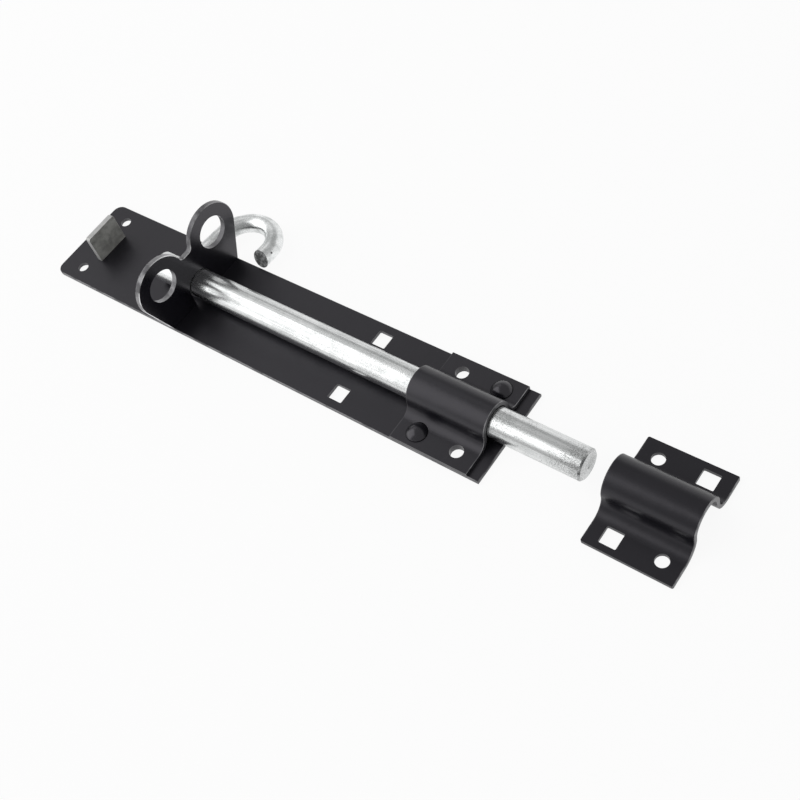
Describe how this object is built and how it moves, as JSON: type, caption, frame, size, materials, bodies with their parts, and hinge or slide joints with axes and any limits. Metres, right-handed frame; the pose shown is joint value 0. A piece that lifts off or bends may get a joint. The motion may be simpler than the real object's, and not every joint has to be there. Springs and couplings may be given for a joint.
{
  "type": "padbolt",
  "caption": "Heavy padbolt: round bar bolt on a black back plate with guide strap, two-eared padlock lug, turning bow handle and a loose keeper.",
  "frame": {"origin": "middle of the back plate's underside, the face that lies on the door", "axes": "+X along the bar towards the keeper, +Y across the plate to the side the bow lies on, +Z away from the door"},
  "size_m": [0.3874, 0.0916, 0.0465],
  "materials": {
    "black_paint": "satin gloss",
    "rivet_paint": "gloss",
    "tab_zinc": "dull zinc",
    "bar_zinc": "bright zinc",
    "bow_zinc": "bright zinc"
  },
  "bodies": {
    "base": {"back_plate": "black_paint", "guide_strap": "black_paint", "rivet_near": "rivet_paint", "rivet_far": "rivet_paint", "lug_plate": "black_paint", "end_stop_tab": "tab_zinc", "keeper": "black_paint"},
    "bolt": {"bolt_bar": "bar_zinc"},
    "bow": {"bow_handle": "bow_zinc"}
  },
  "joints": [
    {"name": "bolt_slide", "type": "slide", "parent": "base", "child": "bolt", "axis": [1, 0, 0], "range_m": [-0.0442, 0.0064]},
    {"name": "bow_turn", "type": "hinge", "parent": "bolt", "child": "bow", "pos_m": [-0.0484, 0, 0.0103], "axis": [1, 0, 0], "range_deg": [0, 192.1]}
  ]
}
